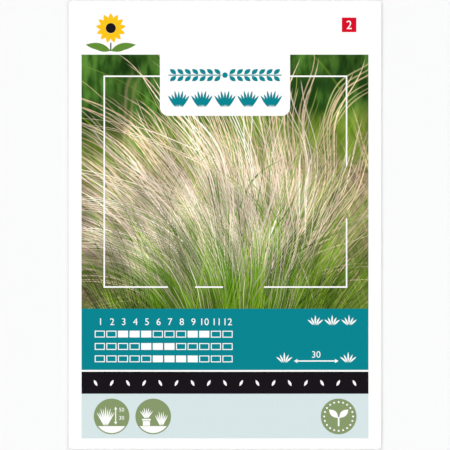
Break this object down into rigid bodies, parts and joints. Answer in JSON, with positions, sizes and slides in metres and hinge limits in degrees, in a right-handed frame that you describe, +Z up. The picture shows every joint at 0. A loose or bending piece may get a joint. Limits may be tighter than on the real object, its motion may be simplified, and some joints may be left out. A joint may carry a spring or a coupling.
{
  "type": "seed packet",
  "caption": "Flat sealed paper picture packet of ornamental grass seed, folded from one blank with glued back flaps, with a foil sachet and loose seed inside.",
  "frame": {"origin": "on the surface it lies on, under the middle of the packet's outline", "axes": "+X to the right of the printed front, +Y towards its top edge, +Z up, out of the printed front"},
  "size_m": [0.115, 0.165, 0.0024],
  "materials": {
    "coated_paper": "satin",
    "dried_glue": "satin",
    "foil_film": "satin",
    "seed": "matte"
  },
  "bodies": {
    "root": {"envelope": "coated_paper", "side_glue": "dried_glue", "bottom_glue": "dried_glue", "top_glue": "dried_glue", "sachet_back": "foil_film", "sachet_front": "foil_film", "seeds": "seed"}
  },
  "joints": []
}
